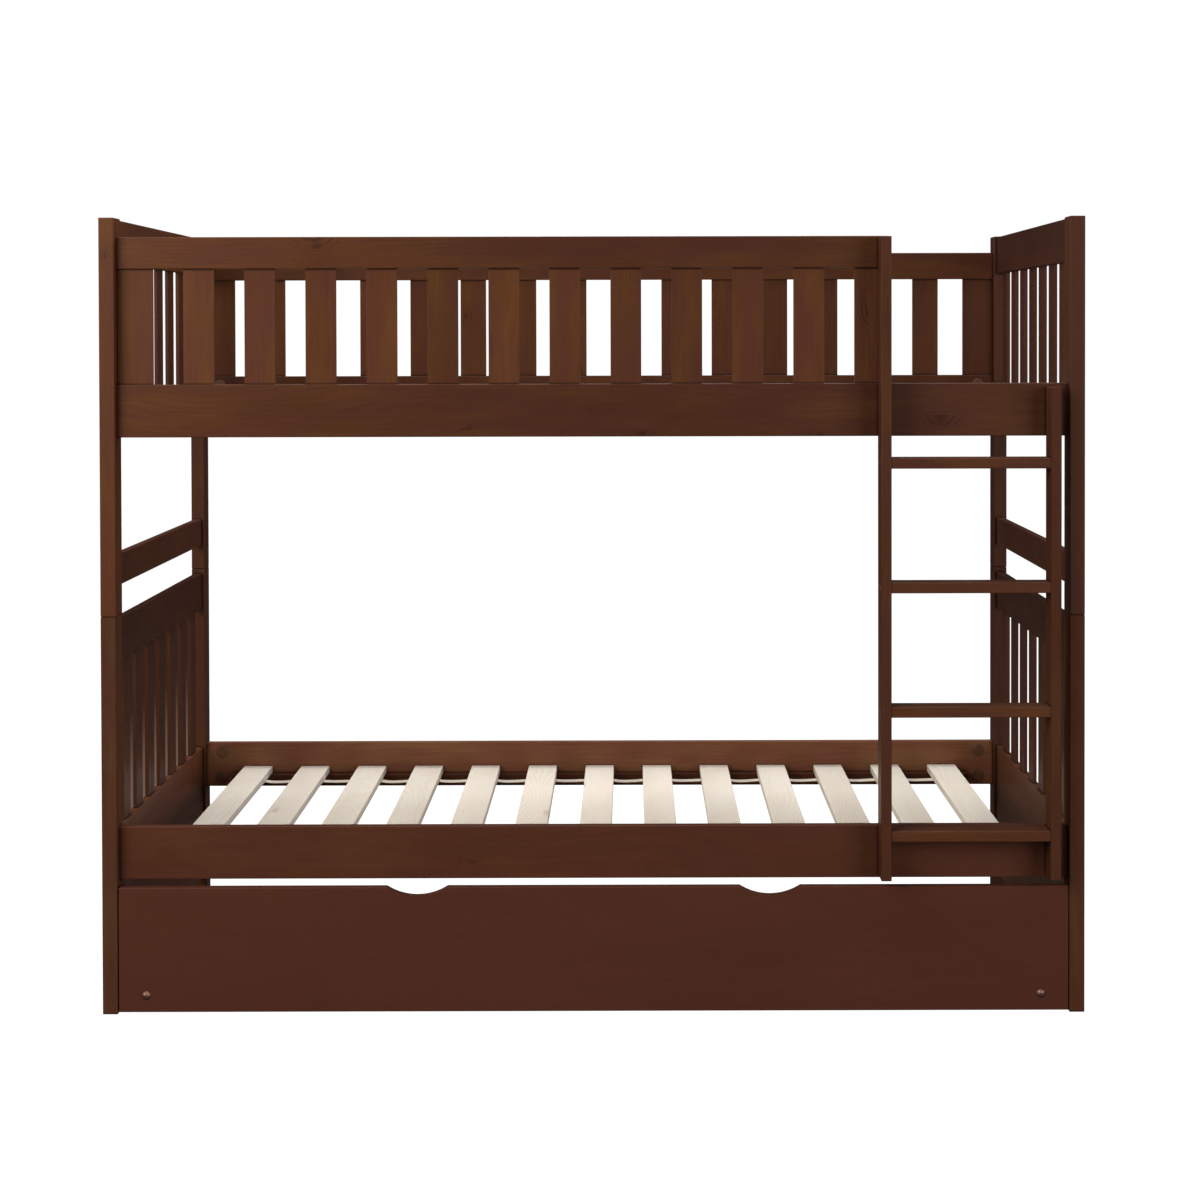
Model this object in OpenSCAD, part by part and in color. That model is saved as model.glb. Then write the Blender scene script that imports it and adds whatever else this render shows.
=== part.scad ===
// Twin over twin bunk bed with a fixed ladder and a rolling trundle.
// Millimetres. X runs along the bed, Y from the ladder side to the wall side, Z up from the floor.
// The origin is on the floor, under the middle of the whole bed with its ladder.

/* [Bed] */
// Length of the bed over the outer faces of the posts
bed_l = 2045; // [1900:1:2200]
// Depth of the bed over the posts, without the ladder
bed_d = 1080; // [1000:1:1300]
// Height of the lower bed, from the floor to the stacking joint
lower_h = 829; // [760:1:1000]
// Height of the upper bed, from the stacking joint to the tops of its posts
upper_h = 829; // [760:1:1000]

/* [Posts] */
// Width of a post, seen from the front
post_w = 32; // [28:1:45]
// Depth of a post, seen from the end
post_d = 64; // [58:1:90]
// Rounding of every edge of a post
post_edge = 2.5; // [1:0.5:4]
// Diameter of the loose pin that locates the upper post on the lower one
pin_dia = 12; // [8:1:16]
// How deep the pin sits in each post
pin_depth = 40; // [25:1:60]

/* [Side rails] */
// Height of a side rail
rail_h = 110; // [100:1:150]
// Thickness of the side rails and of the guard boards
rail_t = 22; // [20:1:28]
// Distance from a post's outer face back to the rail's outer face
rail_recess = 21; // [15:1:28]
// Bottom of the lower side rails above the floor
lower_rail_z = 278; // [275:1:340]
// Bottom of the upper side rails above the stacking joint
upper_rail_z = 372; // [340:1:420]
// Rounding of the long edges of rails and boards
board_edge = 2; // [1:0.5:3]

/* [Guards] */
// Top of the guard's top board below the tops of the posts
guard_drop = 40; // [20:1:80]
// Height of the guard's top board
guard_h = 66; // [50:1:70]
// Width of an ordinary picket
picket_w = 64; // [50:1:70]
// Width of a picket that stands against a post
end_picket_w = 75; // [60:1:90]
// Width of the picket behind the ladder
ladder_picket_w = 70; // [60:1:80]
// Thickness of the guard pickets
picket_t = 8; // [6:1:12]
// Pickets of the long guard on the wall side
back_pickets = 16; // [8:1:16]
// Pickets of the short guard on the ladder side
front_pickets = 13; // [6:1:13]

/* [Head and foot panels] */
// Thickness of the rails of the head and foot panels
end_rail_t = 18; // [16:1:22]
// Height of the rails that hold the slats from above, and of the upper panels' lower rail
end_rail_h = 91; // [70:1:105]
// How far the lower panels' top rail stays under the stacking joint
lower_end_drop = 11; // [2:1:15]
// How far the upper panels' top rail stays under the tops of the posts
upper_end_drop = 2; // [2:1:15]
// Bottom of the lower panels' deep bottom board above the floor
end_board_z = 60; // [40:1:100]
// Height of that deep board
end_board_h = 321; // [290:1:340]
// Height of the guard bar that joins the upper posts under the mattress
end_bar_h = 66; // [50:1:90]
// Bottom of that guard bar above the stacking joint
end_bar_z = 59; // [40:1:100]
// Width of a panel slat
end_slat_w = 64; // [50:1:70]
// Thickness of a panel slat
end_slat_t = 8; // [6:1:10]
// Slats in each panel
end_slats = 7; // [5:1:8]

/* [Wood joints] */
// Thickness of the tenons on the panel rails
tenon_t = 10; // [8:1:12]
// Length of those tenons
tenon_l = 20; // [12:1:24]
// Shoulder above and below a tenon
tenon_shoulder = 10; // [5:1:15]
// How deep slats and pickets stand in their mortises
stub_l = 10; // [6:1:14]
// Gap round a tenon or a stub in its mortise
fit_gap = 0.2; // [0.1:0.05:0.5]
// Diameter of the dowels that locate the guard boards on the posts
dowel_dia = 8; // [6:1:10]
// Length of those dowels
dowel_l = 34; // [24:1:40]
// Height between the two dowels at one board end
dowel_pitch = 34; // [24:1:40]

/* [Rail fasteners] */
// Diameter of the hanger bolts that hold the side rails
bolt_dia = 8; // [6:1:8]
// Length of a hanger bolt
bolt_l = 74; // [70:1:78]
// How much of it is screwed into the post
bolt_in_post = 22; // [15:1:26]
// Height between the two bolts at a rail end
bolt_pitch = 64; // [50:1:70]
// Diameter of the round pocket for the nut
pocket_dia = 27; // [26:0.5:30]
// Depth of the pocket, from the rail's inner face
pocket_depth = 18; // [18:0.5:19.5]
// Distance from the rail's end to the middle of the pocket
pocket_x = 38; // [36:1:42]
// Width of the half-moon washer along the bolt
washer_t = 7; // [5:0.5:8]
// Height of the half-moon washer, measured along the pocket
washer_h = 14; // [12:1:15]
// Nut size across its flats
nut_af = 13; // [11:0.5:13]
// Thickness of the nut
nut_t = 7; // [5:0.5:8]
// Diameter of the caps that cover the pockets
cap_dia = 29; // [28.5:0.5:31]
// Thickness of a cap outside the rail
cap_t = 1.5; // [1:0.5:3]
// How deep a cap sits in its pocket
cap_plug = 3; // [2:0.5:3.5]
// Gap round a bolt in a plain hole, on the radius
bolt_gap = 0.4; // [0.2:0.1:0.6]
// Gap between the threads of a bolt and its nut, on the radius
thread_gap = 0.05; // [0.02:0.01:0.1]

/* [Mattress slats] */
// Width of a slat
slat_w = 71; // [60:1:90]
// Thickness of a slat
slat_t = 18; // [14:1:19]
// Slats in each deck
slats = 13; // [9:1:15]
// Length of the deck over its first and last slat
deck_l = 1791; // [1650:1:1800]
// Gap between a slat's end and the rail
slat_end_gap = 4; // [2:1:8]
// Top of the slats below the top of the side rail
slat_drop = 59; // [50:1:62]
// Thickness of the cleat that carries the slats
cleat_t = 20; // [16:1:28]
// Height of the cleats
cleat_h = 29; // [24:1:32]
// Distance from a post to the end of the cleat
cleat_inset = 66; // [62:1:75]
// Distance from the side rail to the middle of the tape that spaces the slats
tape_y = 106; // [60:1:200]
// Width of that tape
tape_w = 30; // [18:1:40]
// Thickness of the tape
tape_t = 1.2; // [0.8:0.1:2]
// Diameter of the screws that hold the cleats
screw_dia = 4; // [3:0.5:5]
// Length of those screws
screw_l = 34; // [30:1:38]
// Screws in each cleat
cleat_screw_count = 7; // [4:1:9]

/* [Ladder] */
// Width of the ladder over its uprights
ladder_w = 372; // [330:1:420]
// Distance from the right post to the ladder
ladder_x = 24.3; // [20:0.1:120]
// Thickness of an upright, seen from the front
upright_w = 22; // [20:1:26]
// Depth of an upright, seen from the end
upright_d = 64; // [55:1:80]
// Bottom of the uprights above the floor
ladder_z = 284; // [280:1:330]
// How far the tall upright stays under the top of the guard
tall_drop = 3; // [0:1:20]
// How far the short upright stays under the top of the upper rail
short_drop = 7; // [2:1:20]
// Thickness of a rung
rung_t = 22; // [20:1:30]
// Top of the first rung above the floor
rung_z = 387; // [380:1:430]
// Height from one rung to the next
rung_pitch = 257; // [240:0.5:260]
// Rungs
rungs = 4; // [3:1:4]
// How far a rung stays behind the front and the back of the uprights
rung_set = 2; // [1:0.5:5]
// Rounding of the rungs
rung_edge = 2; // [1:0.5:8]
// How deep a rung is housed in an upright
rung_house = 6; // [4:1:10]
// Diameter of the screws through the uprights into the rungs
rung_screw_dia = 5; // [4:0.5:6]
// Length of those screws
rung_screw_l = 55; // [45:1:70]
// Length of the bolts that hold the ladder on the rails
ladder_bolt_l = 62; // [50:1:75]
// Diameter of the domed bolt heads
bolt_head_dia = 17.6; // [14:0.2:20]
// Height of the domed bolt heads
bolt_head_h = 4.5; // [3:0.5:6]
// Size of the hexagonal socket in a bolt head, across its flats
socket_af = 5; // [4:0.5:6]
// Depth of that socket
socket_depth = 2.5; // [2:0.5:2.5]

/* [Trundle] */
// Gap between the trundle front and the posts
trundle_side_gap = 2; // [1.5:0.5:6]
// How far the trundle front stays behind the faces of the posts
trundle_recess = 2; // [0:0.5:10]
// Gap under the trundle front
trundle_floor_gap = 4; // [3:0.5:12]
// Gap between the trundle front and the side rail above it
trundle_top_gap = 14; // [6:1:25]
// Thickness of the trundle front and the trundle back
trundle_t = 22; // [18:1:25]
// Depth of the trundle, from the face of its front to the face of its back
trundle_d = 848; // [760:1:980]
// Distance from the middle of the bed to the middle of each notch
notch_x = 368; // [250:1:600]
// Width of a finger notch at the top edge
notch_w = 128; // [90:1:180]
// Depth of a finger notch
notch_h = 19; // [12:1:25]
// Distance from the middle of the bed to the middle of a trundle end
trundle_end_x = 932; // [920:1:940]
// Thickness of the trundle ends
trundle_end_t = 24; // [20:1:26]
// Height of the trundle ends
trundle_end_h = 50; // [48:1:56]
// Bottom of the trundle ends above the floor
trundle_end_z = 14; // [10:1:16]
// Height of the trundle back
trundle_back_h = 40; // [36:1:60]
// Height of the trundle cleats
trundle_cleat_h = 24; // [20:1:28]
// Top of the trundle slats below the tops of the trundle ends
trundle_slat_drop = 10; // [4:0.5:12]
// Length of the bolts through the trundle front and back
trundle_bolt_l = 75; // [60:1:90]
// Diameter of the barrel nuts in the trundle ends
barrel_dia = 14; // [12:1:16]
// Length of the barrel nuts
barrel_l = 18; // [14:1:20]
// Distance from a trundle end's tip to its barrel nut
barrel_y = 42; // [30:1:44]

/* [Wheels] */
// Radius of a trundle wheel
wheel_r = 22; // [20:0.5:22]
// Width of a wheel's tread
wheel_w = 17; // [14:0.5:20]
// Diameter of the axles
axle_dia = 8; // [6:1:10]
// Gap between an axle and its wheel, on the radius
axle_gap = 0.08; // [0.05:0.01:0.1]
// Distance from the trundle's front and back boards to the axles
axle_y = 70; // [68:1:150]
// How far the hub stands proud of the tread on each side
hub_proud = 1; // [0.5:0.5:2]
// Diameter of the hub
hub_dia = 16; // [14:1:20]
// Diameter of the axle heads
axle_head_dia = 13; // [11:0.5:14]
// Height of the axle heads
axle_head_h = 3; // [2:0.5:4]

/* [Hidden] */
$fn = 40;

// Finishes
cherry = [0.31, 0.14, 0.09];
cherry_light = [0.38, 0.19, 0.12];
pine = [0.86, 0.78, 0.67];
tape_cloth = [0.80, 0.74, 0.64];
zinc = [0.72, 0.72, 0.70];
bronze = [0.36, 0.24, 0.17];
cap_brown = [0.28, 0.14, 0.09];
nylon = [0.13, 0.13, 0.14];

// Planes of the frame, for the left end and the front; the other end and side are mirrored
x_out = bed_l / 2;
x_in = x_out - post_w;
ladder_proud = upright_d - rail_recess;
y_front = (ladder_proud - bed_d) / 2;
y_mid = y_front + bed_d / 2;
y_rail = y_front + rail_recess;
y_rail_in = y_rail + rail_t;
y_rail_mid = y_rail + rail_t / 2;
y_post_in = y_front + post_d;
z_top = lower_h + upper_h;
x_post_mid = x_in + post_w / 2;
y_post_mid = y_front + post_d / 2;

// Side rails and what they carry
rail_l = 2 * x_in;
z_lower_rail = lower_rail_z;
z_upper_rail = lower_h + upper_rail_z;
z_guard_top = z_top - guard_drop;
z_guard = z_guard_top - guard_h;
clear_y = 2 * (y_mid - y_rail_in);
slat_l = clear_y - 2 * slat_end_gap;
slat_pitch = (deck_l - slat_w) / (slats - 1);
slat_under = rail_h - slat_drop - slat_t;
cleat_l = rail_l - 2 * cleat_inset;

// Head and foot panels
panel_l = bed_d - 2 * post_d;
end_slat_gap = (panel_l - end_slats * end_slat_w) / (end_slats + 1);
z_lower_end_top = lower_h - lower_end_drop - end_rail_h;
z_upper_end_top = z_top - upper_end_drop - end_rail_h;
z_end_bar = lower_h + end_bar_z;

// Guards
front_guard_end = x_in - ladder_x - ladder_w + upright_w;
front_guard_l = front_guard_end + x_in;
picket_l = z_guard - z_upper_rail - rail_h;

// Rail fasteners
bolt_z = [rail_h / 2 - bolt_pitch / 2, rail_h / 2 + bolt_pitch / 2];
pocket_r = pocket_dia / 2;
washer_r = pocket_r - fit_gap;
washer_flat = washer_r - washer_t;

// Ladder
ladder_left = x_in - ladder_x - ladder_w;
ladder_right = x_in - ladder_x - upright_w;
y_ladder = y_rail - upright_d;
y_ladder_mid = y_ladder + upright_d / 2;
rung_l = ladder_w - 2 * upright_w + 2 * rung_house;
rung_d = upright_d - 2 * rung_set;
rung_screw_y = rung_d / 4;

// Trundle
trundle_l = 2 * (x_in - trundle_side_gap);
y_trundle = y_front + trundle_recess;
y_trundle_in = y_trundle + trundle_t;
y_trundle_back = y_trundle + trundle_d - trundle_t;
trundle_h = z_lower_rail - trundle_top_gap - trundle_floor_gap;
notch_r = (notch_w * notch_w / 4 + notch_h * notch_h) / (2 * notch_h);
trundle_end_l = y_trundle_back - y_trundle_in;
trundle_end_in = trundle_end_x - trundle_end_t / 2;
trundle_end_top = trundle_end_z + trundle_end_h;
trundle_bolt_z = trundle_end_z + trundle_end_h / 2;
z_trundle_slat = trundle_end_top - trundle_slat_drop - slat_t;
trundle_slat_l = trundle_end_l - 2 * slat_end_gap;
trundle_cleat_l = 2 * trundle_end_in;
wheel_x = trundle_end_in - hub_proud - wheel_w / 2;

// ---------- Helpers ----------

// The same thing at the other end of the bed
module mirror_end(on = true) {
    if (on) mirror([1, 0, 0]) children();
    else children();
}

// The same thing on the other side of the bed
module mirror_side(on = true) {
    if (on) translate([0, 2 * y_mid, 0]) mirror([0, 1, 0]) children();
    else children();
}

module both_ends() {
    children();
    mirror_end() children();
}

module both_sides() {
    children();
    mirror_side() children();
}

// A rectangle with round corners, from the origin
module round_rect(a, b, r) {
    translate([r, 0]) square([a - 2 * r, b]);
    translate([0, r]) square([a, b - 2 * r]);
    for (x = [r, a - r], y = [r, b - r]) translate([x, y]) circle(r);
}

// A profile drawn in Y and Z, extruded along X
module along_x(l) {
    rotate([90, 0, 90]) linear_extrude(l) children();
}

// A profile drawn in X and Z, extruded along Y
module along_y(l) {
    translate([0, l, 0]) rotate([90, 0, 0]) linear_extrude(l) children();
}

// A block with every edge rounded, from the origin
module eased_block(w, d, h, r) {
    intersection() {
        linear_extrude(h) round_rect(w, d, r);
        along_y(d) round_rect(w, h, r);
        along_x(w) round_rect(d, h, r);
    }
}

// A plain hole along X, centred on the origin's Y and Z
module hole_x(d, l) {
    rotate([0, 90, 0]) cylinder(d = d, h = l);
}

// A plain hole along Y, centred on the origin's X and Z
module hole_y(d, l) {
    rotate([-90, 0, 0]) cylinder(d = d, h = l);
}

// A hexagonal bar along Z, af across its flats
module hex_bar(af, h) {
    cylinder(r = af / 2 / cos(30), h = h, $fn = 6);
}

// Low domed bolt head along -Y with a hexagonal socket, its flat seat at the origin
module dome_head(d, h) {
    ball_r = (d * d / 4 + h * h) / (2 * h);
    rotate([90, 0, 0]) difference() {
        intersection() {
            cylinder(d = d, h = h);
            translate([0, 0, h - ball_r]) sphere(ball_r, $fn = 64);
        }
        translate([0, 0, h - socket_depth]) hex_bar(socket_af, socket_depth + 1);
    }
}

// A countersunk screw along +Y, its head's face at the origin
module wood_screw(d, l) {
    rotate([-90, 0, 0]) {
        cylinder(d1 = 2 * d, d2 = d, h = d / 2);
        cylinder(d = d, h = l - d);
        translate([0, 0, l - d]) cylinder(d1 = d, d2 = d / 4, h = d);
    }
}

// The hole that such a screw fills
module screw_hole(d, l) {
    rotate([-90, 0, 0]) {
        cylinder(d1 = 2 * d + 2 * fit_gap, d2 = d + 2 * fit_gap, h = d / 2);
        translate([0, 0, -1]) cylinder(d = 2 * d + 2 * fit_gap, h = 1);
        cylinder(d = d + 2 * fit_gap, h = l + fit_gap);
    }
}

// ---------- Posts ----------

// Mortise in a front left post for a panel rail's tenon
module tenon_mortise(z, h) {
    translate([-x_post_mid - tenon_t / 2 - fit_gap, y_post_in - tenon_l - fit_gap, z + tenon_shoulder - fit_gap])
        cube([tenon_t + 2 * fit_gap, tenon_l + fit_gap + 1, h - 2 * tenon_shoulder + 2 * fit_gap]);
}

// Two holes in a post for the hanger bolts of a side rail at height z
module post_bolt_holes(z) {
    for (h = bolt_z)
        translate([-x_in - bolt_in_post, y_rail_mid, z + h]) hole_x(bolt_dia + 2 * thread_gap, bolt_in_post + 1);
}

module pin_hole(z, depth) {
    translate([-x_post_mid, y_post_mid, z]) cylinder(d = pin_dia + 2 * fit_gap, h = depth);
}

module lower_post(right, back) {
    color(cherry_light) mirror_end(right) mirror_side(back) difference() {
        translate([-x_out, y_front, 0]) eased_block(post_w, post_d, lower_h, post_edge);
        tenon_mortise(z_lower_end_top, end_rail_h);
        tenon_mortise(end_board_z, end_board_h);
        post_bolt_holes(z_lower_rail);
        pin_hole(lower_h - pin_depth, pin_depth + 1);
    }
}

module upper_post(right, back, guarded) {
    color(cherry_light) mirror_end(right) mirror_side(back) difference() {
        translate([-x_out, y_front, lower_h]) eased_block(post_w, post_d, upper_h, post_edge);
        tenon_mortise(z_upper_end_top, end_rail_h);
        tenon_mortise(z_upper_rail, end_rail_h);
        tenon_mortise(z_end_bar, end_bar_h);
        post_bolt_holes(z_upper_rail);
        pin_hole(lower_h - 1, pin_depth + 1);
        if (guarded) guard_end_holes(-x_in);
    }
}

// ---------- Head and foot panels ----------

// Mortises for the slats in the edge of a panel rail: the edge is at z, dir is the way into the wood
module end_slat_mortises(z, dir) {
    depth = stub_l + fit_gap;
    for (i = [0 : end_slats - 1])
        translate([
            -x_post_mid - end_slat_t / 2 - fit_gap,
            y_post_in + end_slat_gap + i * (end_slat_w + end_slat_gap) - fit_gap,
            dir > 0 ? z - 1 : z - depth
        ]) cube([end_slat_t + 2 * fit_gap, end_slat_w + 2 * fit_gap, depth + 1]);
}

// A rail of the left panel with a tenon at each end
module panel_rail(z, h) {
    translate([-x_post_mid - end_rail_t / 2, y_post_in, z]) along_y(panel_l) round_rect(end_rail_t, h, board_edge);
    translate([-x_post_mid - tenon_t / 2, y_post_in - tenon_l, z + tenon_shoulder])
        cube([tenon_t, panel_l + 2 * tenon_l, h - 2 * tenon_shoulder]);
}

module end_top(right, z) {
    color(cherry) mirror_end(right) difference() {
        panel_rail(z, end_rail_h);
        end_slat_mortises(z, 1);
    }
}

module end_low(right, z, h) {
    color(cherry) mirror_end(right) difference() {
        panel_rail(z, h);
        end_slat_mortises(z + h, -1);
    }
}

module end_bar(right) {
    color(cherry) mirror_end(right) panel_rail(z_end_bar, end_bar_h);
}

module end_slats(right, z0, z1) {
    color(cherry) mirror_end(right) for (i = [0 : end_slats - 1])
        translate([
            -x_post_mid - end_slat_t / 2,
            y_post_in + end_slat_gap + i * (end_slat_w + end_slat_gap),
            z0 - stub_l
        ]) linear_extrude(z1 - z0 + 2 * stub_l) round_rect(end_slat_t, end_slat_w, board_edge / 2);
}

// ---------- Side rails ----------

// Pocket and bolt hole at the left end of a front rail, at both bolt heights
module rail_end_cuts(z) {
    for (h = bolt_z) {
        translate([-x_in - 1, y_rail_mid, z + h]) hole_x(bolt_dia + 2 * bolt_gap, bolt_l - bolt_in_post + 1 + bolt_gap);
        translate([-x_in + pocket_x, y_rail_in - pocket_depth, z + h]) hole_y(pocket_dia, pocket_depth + 1);
    }
}

module cleat_screws_at(z) {
    step = (cleat_l - 2 * slat_w) / (cleat_screw_count - 1);
    for (i = [0 : cleat_screw_count - 1])
        translate([-cleat_l / 2 + slat_w + i * step, y_rail_in + cleat_t, z + slat_under - cleat_h / 2])
            mirror([0, 1, 0]) children();
}

// A front rail with the cuts that every side rail has
module side_rail(z) {
    difference() {
        translate([-x_in, y_rail, z]) along_x(rail_l) round_rect(rail_t, rail_h, board_edge);
        both_ends() rail_end_cuts(z);
        cleat_screws_at(z) screw_hole(screw_dia, screw_l);
    }
}

module lower_rail(back) {
    color(cherry) mirror_side(back) difference() {
        side_rail(z_lower_rail);
        if (!back) ladder_bolt_holes();
    }
}

module upper_rail(back) {
    color(cherry) mirror_side(back) difference() {
        side_rail(z_upper_rail);
        if (back) picket_mortises(back_pickets, rail_l, end_picket_w, z_upper_rail + rail_h, -1);
        else {
            picket_mortises(front_pickets, front_guard_l, ladder_picket_w, z_upper_rail + rail_h, -1);
            ladder_bolt_holes();
        }
    }
}

// ---------- Guards ----------

// Gap between the pickets of a guard of length l with n pickets, the last of width last_w
function picket_gap(n, l, last_w) = (l - end_picket_w - last_w - (n - 2) * picket_w) / (n - 1);

// Start and width of picket i, measured from the left post
function picket_x(i, n, l, last_w) =
    i == 0 ? 0 : end_picket_w + i * picket_gap(n, l, last_w) + (i - 1) * picket_w;
function picket_width(i, n, last_w) = i == 0 ? end_picket_w : i == n - 1 ? last_w : picket_w;

module picket_mortises(n, l, last_w, z, dir) {
    depth = stub_l + fit_gap;
    for (i = [0 : n - 1])
        translate([
            -x_in + picket_x(i, n, l, last_w) - fit_gap,
            y_rail_mid - picket_t / 2 - fit_gap,
            dir > 0 ? z - 1 : z - depth
        ]) cube([picket_width(i, n, last_w) + 2 * fit_gap, picket_t + 2 * fit_gap, depth + 1]);
}

module pickets(n, l, last_w) {
    for (i = [0 : n - 1])
        translate([
            -x_in + picket_x(i, n, l, last_w),
            y_rail_mid - picket_t / 2,
            z_upper_rail + rail_h - stub_l
        ]) linear_extrude(picket_l + 2 * stub_l)
            round_rect(picket_width(i, n, last_w), picket_t, board_edge / 2);
}

// Dowel holes across the joint between a guard board and a post, around the plane x
module guard_end_holes(x) {
    guard_dowel_places(x) translate([-fit_gap, 0, 0]) hole_x(dowel_dia + 2 * fit_gap, dowel_l + 2 * fit_gap);
}

module guard_dowel_places(x) {
    for (s = [-1, 1])
        translate([x - dowel_l / 2, y_rail_mid, z_guard + guard_h / 2 + s * dowel_pitch / 2]) children();
}

module guard_board(back) {
    l = back ? rail_l : front_guard_l;
    n = back ? back_pickets : front_pickets;
    last_w = back ? end_picket_w : ladder_picket_w;
    color(cherry) mirror_side(back) difference() {
        translate([-x_in, y_rail, z_guard]) along_x(l) round_rect(rail_t, guard_h, board_edge);
        picket_mortises(n, l, last_w, z_guard, 1);
        guard_end_holes(-x_in);
        if (back) mirror_end() guard_end_holes(-x_in);
        else ladder_bolt_holes();
    }
}

module guard_pickets(back) {
    color(cherry) mirror_side(back)
        if (back) pickets(back_pickets, rail_l, end_picket_w);
        else pickets(front_pickets, front_guard_l, ladder_picket_w);
}

module guard_dowels() {
    color(pine) {
        guard_dowel_places(-x_in) hole_x(dowel_dia, dowel_l);
        mirror_side() both_ends() guard_dowel_places(-x_in) hole_x(dowel_dia, dowel_l);
    }
}

// ---------- Mattress decks ----------

module cleats(z) {
    color(cherry) both_sides() difference() {
        translate([-cleat_l / 2, y_rail_in, z + slat_under - cleat_h])
            along_x(cleat_l) round_rect(cleat_t, cleat_h, board_edge);
        cleat_screws_at(z) screw_hole(screw_dia, screw_l);
    }
}

module cleat_screws() {
    color(zinc) for (z = [z_lower_rail, z_upper_rail]) both_sides() cleat_screws_at(z) wood_screw(screw_dia, screw_l);
}

// A row of slats of length l, their undersides at z, the row's middle at y
module slat_row(l, y, z) {
    for (i = [0 : slats - 1])
        translate([-deck_l / 2 + i * slat_pitch, y - l / 2, z]) along_y(l) round_rect(slat_w, slat_t, board_edge);
}

module deck_slats(z) {
    color(pine) slat_row(slat_l, y_mid, z + slat_under);
}

// Tapes fixed under the slats of both decks, which keep the slats apart
module slat_tapes() {
    color(tape_cloth) for (z = [z_lower_rail, z_upper_rail]) both_sides()
        translate([-deck_l / 2, y_rail_in + tape_y - tape_w / 2, z + slat_under - tape_t])
            cube([deck_l, tape_w, tape_t]);
}

// ---------- Ladder ----------

module rung_housings() {
    for (i = [0 : rungs - 1])
        translate([ladder_left + upright_w - rung_house, y_ladder + rung_set, rung_z + i * rung_pitch - rung_t])
            along_x(rung_l) round_rect(rung_d, rung_t, rung_edge);
}

// Places of the screws through the uprights, heads on the outer face of each upright
module rung_screw_places() {
    for (i = [0 : rungs - 1], s = [-1, 1])
        translate([0, y_ladder_mid + s * rung_screw_y, rung_z + i * rung_pitch - rung_t / 2]) {
            translate([ladder_left, 0, 0]) rotate([0, 0, -90]) children();
            translate([ladder_left + ladder_w, 0, 0]) rotate([0, 0, 90]) children();
        }
}

// Places of the bolts that hold the ladder, on the inner faces of the rails and the guard board
module ladder_bolt_places() {
    for (x = [ladder_left, ladder_right], z = [z_lower_rail, z_upper_rail])
        translate([x + upright_w / 2, y_rail_in, z + rail_h / 2]) children();
    translate([ladder_left + upright_w / 2, y_rail_in, z_guard + guard_h / 2]) children();
}

module ladder_bolt_holes() {
    ladder_bolt_places() translate([0, 1 - ladder_bolt_l - fit_gap - 1, 0])
        hole_y(bolt_dia + 2 * fit_gap, ladder_bolt_l + fit_gap + 1);
}

module ladder_bolts() {
    color(bronze) ladder_bolt_places() {
        translate([0, -ladder_bolt_l, 0]) hole_y(bolt_dia, ladder_bolt_l);
        mirror([0, 1, 0]) dome_head(bolt_head_dia, bolt_head_h);
    }
}

module ladder_upright(x, z_end) {
    color(cherry) difference() {
        translate([x, y_ladder, ladder_z]) eased_block(upright_w, upright_d, z_end - ladder_z, post_edge);
        rung_housings();
        rung_screw_places() screw_hole(rung_screw_dia, rung_screw_l);
        ladder_bolt_holes();
    }
}

module ladder_rungs() {
    color(cherry_light) difference() {
        rung_housings();
        rung_screw_places() screw_hole(rung_screw_dia, rung_screw_l);
    }
}

module rung_screws() {
    color(bronze) rung_screw_places() wood_screw(rung_screw_dia, rung_screw_l);
}

// ---------- Rail fasteners ----------

// Every hanger bolt's place: the rail's end face, the rail's mid plane and the bolt's height
module rail_bolt_places() {
    for (z = [z_lower_rail, z_upper_rail], h = bolt_z)
        both_sides() both_ends() translate([-x_in, y_rail_mid, z + h]) children();
}

module rail_bolts() {
    color(zinc) rail_bolt_places() translate([-bolt_in_post, 0, 0]) hole_x(bolt_dia, bolt_l);
}

module rail_washers() {
    color(zinc) rail_bolt_places() difference() {
        translate([pocket_x, 0, 0]) intersection() {
            translate([0, -washer_h / 2, 0]) hole_y(2 * washer_r, washer_h);
            translate([-washer_r - 1, -washer_h, -washer_r]) cube([washer_t + 1, 2 * washer_h, 2 * washer_r]);
        }
        hole_x(bolt_dia + 2 * bolt_gap, pocket_x);
    }
}

module rail_nuts() {
    color(zinc) rail_bolt_places() translate([pocket_x - washer_flat, 0, 0]) difference() {
        rotate([0, 90, 0]) hex_bar(nut_af, nut_t);
        translate([-1, 0, 0]) hole_x(bolt_dia + 2 * thread_gap, nut_t + 2);
    }
}

// Caps pressed into the pockets, with a rounded rim outside
module pocket_caps() {
    rim_x = cap_dia / 2 - cap_t;
    color(cap_brown) rail_bolt_places() translate([pocket_x, rail_t / 2, 0]) rotate([-90, 0, 0]) {
        translate([0, 0, -cap_plug]) cylinder(d = pocket_dia - 2 * fit_gap, h = cap_plug);
        rotate_extrude() {
            square([rim_x, cap_t]);
            translate([rim_x, 0]) intersection() {
                circle(cap_t);
                square(cap_t);
            }
        }
    }
}

module stacking_pins() {
    color(zinc) both_sides() both_ends()
        translate([-x_post_mid, y_post_mid, lower_h - pin_depth]) cylinder(d = pin_dia, h = 2 * pin_depth);
}

// ---------- Trundle ----------

// The same thing at the back of the trundle
module trundle_both_boards() {
    children();
    translate([0, 2 * y_trundle + trundle_d, 0]) mirror([0, 1, 0]) children();
}

// Places of the bolts on the trundle front and back, at their outer faces
module trundle_bolt_places() {
    trundle_both_boards() both_ends() translate([-trundle_end_x, y_trundle, trundle_bolt_z]) children();
}

module trundle_bolt_holes() {
    trundle_bolt_places() translate([0, -1, 0]) hole_y(bolt_dia + 2 * bolt_gap, trundle_bolt_l + 1 + bolt_gap);
}

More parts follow.
